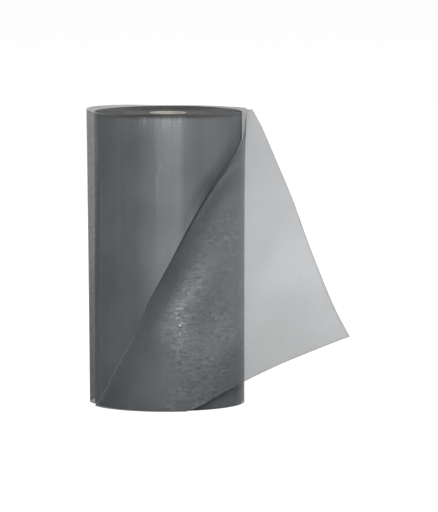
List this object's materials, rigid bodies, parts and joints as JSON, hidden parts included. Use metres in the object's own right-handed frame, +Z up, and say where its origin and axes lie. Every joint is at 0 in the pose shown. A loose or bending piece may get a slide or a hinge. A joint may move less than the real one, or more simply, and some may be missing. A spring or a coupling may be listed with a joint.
{
  "type": "roll of aluminium insect screen",
  "caption": "Roll of fine metal insect screen standing on end on a board tube, its outer turn loose and folded back into a sheer flap at the side.",
  "frame": {"origin": "middle of the part's footprint, on the surface that the roll stands on", "axes": "+Z up along the roll's axis, front towards -Y, free flap towards +X"},
  "size_m": [0.2698, 0.1706, 0.3023],
  "materials": {
    "wound_screen": "dense wound wire mesh, dull grey with a soft satin sheen",
    "tube_board": "pale matt paper board",
    "loose_screen": "single layer of fine wire mesh, see-through, satin grey"
  },
  "bodies": {
    "root": {"wound_roll": "wound_screen", "core_tube": "tube_board", "loose_screen": "loose_screen"}
  },
  "joints": []
}
